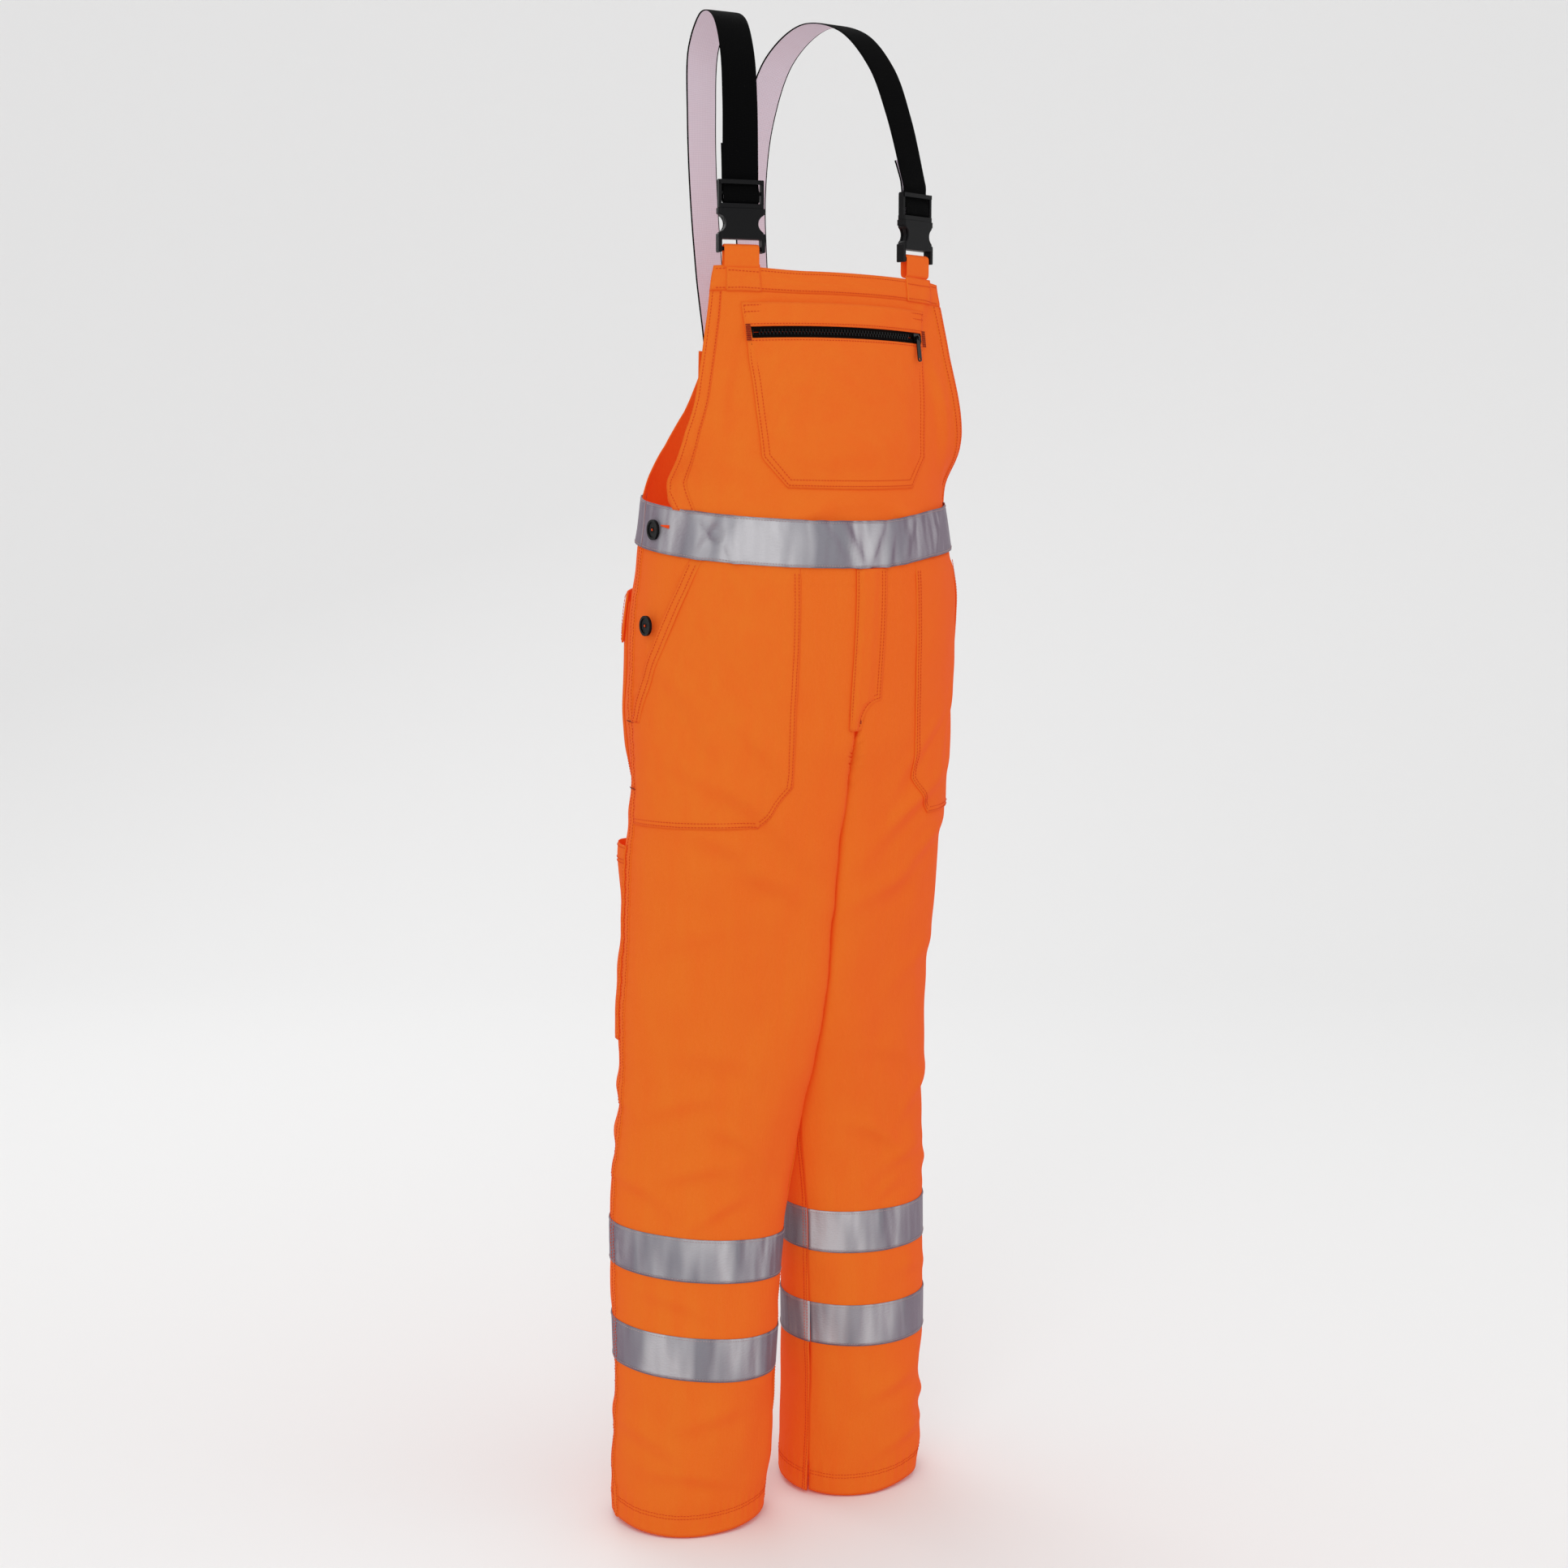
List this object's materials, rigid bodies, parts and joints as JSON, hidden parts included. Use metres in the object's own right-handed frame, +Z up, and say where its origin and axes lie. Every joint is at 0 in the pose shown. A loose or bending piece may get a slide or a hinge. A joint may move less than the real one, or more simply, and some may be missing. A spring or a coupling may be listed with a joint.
{
  "type": "chainsaw protective bib overalls",
  "caption": "Bib-and-brace chainsaw overalls in orange cloth with cut pads in the legs, reflective bands, pockets, zips and side-release braces.",
  "frame": {"origin": "on the floor plane of the trouser hems, under the middle of the waist", "axes": "+Z up, -Y the way the wearer faces, -X the wearer's right"},
  "size_m": [0.4138, 0.279, 1.7063],
  "materials": {
    "orange_cloth": "fluorescent orange twill, matt",
    "cut_fibre": "loose layered long fibres, off-white",
    "lining_cloth": "light orange lining cloth",
    "reflective_tape": "silver retroreflective cloth tape",
    "zip_plastic": "black moulded",
    "zip_metal": "black enamelled",
    "zip_cloth": "woven zip tape, orange",
    "elastic_band": "ribbed woven elastic, black outside",
    "buckle_plastic": "black moulded, satin",
    "button_plastic": "black, slightly glossy",
    "orange_thread": "orange sewing thread"
  },
  "bodies": {
    "garment": {"back_panel": "orange_cloth", "back_waist_tape": "reflective_tape", "back_waistband": "orange_cloth", "bib_lining": "lining_cloth", "bib_panel": "orange_cloth", "bib_pocket": "orange_cloth", "bib_zip_stops": "zip_plastic", "bib_zip_tapes": "zip_cloth", "bib_zip_teeth": "zip_plastic", "brace_anchor_patch": "orange_cloth", "fly_zip_tapes": "zip_cloth", "fly_zip_teeth": "zip_plastic", "front_waist_tape": "reflective_tape", "front_waistband": "orange_cloth", "left_back_leg": "orange_cloth", "left_back_pocket": "orange_cloth", "left_buckle_socket": "buckle_plastic", "left_buckle_tab": "orange_cloth", "left_button_threads": "orange_thread", "left_cut_pad": "cut_fibre", "left_front_leg": "orange_cloth", "left_hem_facing": "orange_cloth", "left_hip_buttons": "button_plastic", "left_hip_pocket": "orange_cloth", "left_lower_leg_tape": "reflective_tape", "left_pad_lining": "lining_cloth", "left_upper_leg_tape": "reflective_tape", "right_back_leg": "orange_cloth", "right_back_pocket": "orange_cloth", "right_buckle_socket": "buckle_plastic", "right_buckle_tab": "orange_cloth", "right_button_threads": "orange_thread", "right_cut_pad": "cut_fibre", "right_front_leg": "orange_cloth", "right_hem_facing": "orange_cloth", "right_hip_buttons": "button_plastic", "right_hip_pocket": "orange_cloth", "right_lower_leg_tape": "reflective_tape", "right_pad_lining": "lining_cloth", "right_upper_leg_tape": "reflective_tape", "rule_pocket": "orange_cloth", "waist_elastic": "elastic_band"},
    "right_brace": {"right_brace": "elastic_band", "right_buckle_plug": "buckle_plastic"},
    "right_outer_prong": {"right_outer_prong": "buckle_plastic"},
    "right_inner_prong": {"right_inner_prong": "buckle_plastic"},
    "right_back_flap": {"right_back_flap": "orange_cloth"},
    "left_brace": {"left_brace": "elastic_band", "left_buckle_plug": "buckle_plastic"},
    "left_outer_prong": {"left_outer_prong": "buckle_plastic"},
    "left_inner_prong": {"left_inner_prong": "buckle_plastic"},
    "left_back_flap": {"left_back_flap": "orange_cloth"},
    "bib_zip_slider": {"bib_zip_slider": "zip_metal"},
    "bib_zip_pull": {"bib_zip_pull": "zip_metal"},
    "fly_zip_slider": {"fly_zip_slider": "zip_metal"},
    "fly_zip_pull": {"fly_zip_pull": "zip_metal"},
    "fly_flap": {"fly_flap": "orange_cloth"}
  },
  "joints": [
    {"name": "right_buckle_release", "type": "slide", "parent": "garment", "child": "right_brace", "axis": [0, 0, 1], "range_m": [0, 0.045], "deforming": ["right_brace", "right_outer_prong", "right_inner_prong"]},
    {"name": "right_outer_prong_squeeze", "type": "hinge", "parent": "right_brace", "child": "right_outer_prong", "pos_m": [-0.12756, -0.06206, 1.48], "axis": [-0.2588, -0.9659, 0], "range_deg": [0, 8], "stiffness_Nm_per_rad": 0.05},
    {"name": "right_inner_prong_squeeze", "type": "hinge", "parent": "right_brace", "child": "right_inner_prong", "pos_m": [-0.10244, -0.06879, 1.48], "axis": [0.2588, 0.9659, 0], "range_deg": [0, 8], "stiffness_Nm_per_rad": 0.05},
    {"name": "left_buckle_release", "type": "slide", "parent": "garment", "child": "left_brace", "axis": [0, 0, 1], "range_m": [0, 0.045], "deforming": ["left_brace", "left_outer_prong", "left_inner_prong"]},
    {"name": "left_outer_prong_squeeze", "type": "hinge", "parent": "left_brace", "child": "left_outer_prong", "pos_m": [0.12756, -0.06206, 1.48], "axis": [-0.2588, 0.9659, 0], "range_deg": [0, 8], "stiffness_Nm_per_rad": 0.05},
    {"name": "left_inner_prong_squeeze", "type": "hinge", "parent": "left_brace", "child": "left_inner_prong", "pos_m": [0.10244, -0.06879, 1.48], "axis": [0.2588, -0.9659, 0], "range_deg": [0, 8], "stiffness_Nm_per_rad": 0.05},
    {"name": "bib_zip_slide", "type": "hinge", "parent": "garment", "child": "bib_zip_slider", "pos_m": [0, 0.32112, 1.2864], "axis": [0, -0.1633, -0.9866], "range_deg": [0, 27.01], "deforming": ["bib_zip_teeth"]},
    {"name": "bib_zip_pull_swing", "type": "hinge", "parent": "bib_zip_slider", "child": "bib_zip_pull", "pos_m": [0.10285, -0.08845, 1.35421], "axis": [-0.9707, -0.2372, 0.0393], "range_deg": [0, 170]},
    {"name": "fly_zip_slide", "type": "slide", "parent": "garment", "child": "fly_zip_slider", "axis": [0, 0.1162, -0.9932], "range_m": [0, 0.116], "deforming": ["fly_zip_teeth"]},
    {"name": "fly_zip_pull_swing", "type": "hinge", "parent": "fly_zip_slider", "child": "fly_zip_pull", "pos_m": [0, -0.12969, 1.08706], "axis": [-1, 0, 0], "range_deg": [0, 5]},
    {"name": "fly_flap_open", "type": "hinge", "parent": "garment", "child": "fly_flap", "pos_m": [0.032, -0.1311, 1.09394], "axis": [0, -0.1162, 0.9932], "range_deg": [0, 75]},
    {"name": "right_back_flap_lift", "type": "hinge", "parent": "garment", "child": "right_back_flap", "pos_m": [-0.0563, 0.1399, 1.076], "axis": [0.9239, 0.3827, 0], "range_deg": [0, 110]},
    {"name": "left_back_flap_lift", "type": "hinge", "parent": "garment", "child": "left_back_flap", "pos_m": [0.0563, 0.1399, 1.076], "axis": [0.9239, -0.3827, 0], "range_deg": [0, 110]}
  ],
  "couplings": [
    {"joint": "right_inner_prong_squeeze", "follows": "right_outer_prong_squeeze", "ratio": 1},
    {"joint": "left_inner_prong_squeeze", "follows": "left_outer_prong_squeeze", "ratio": 1}
  ]
}
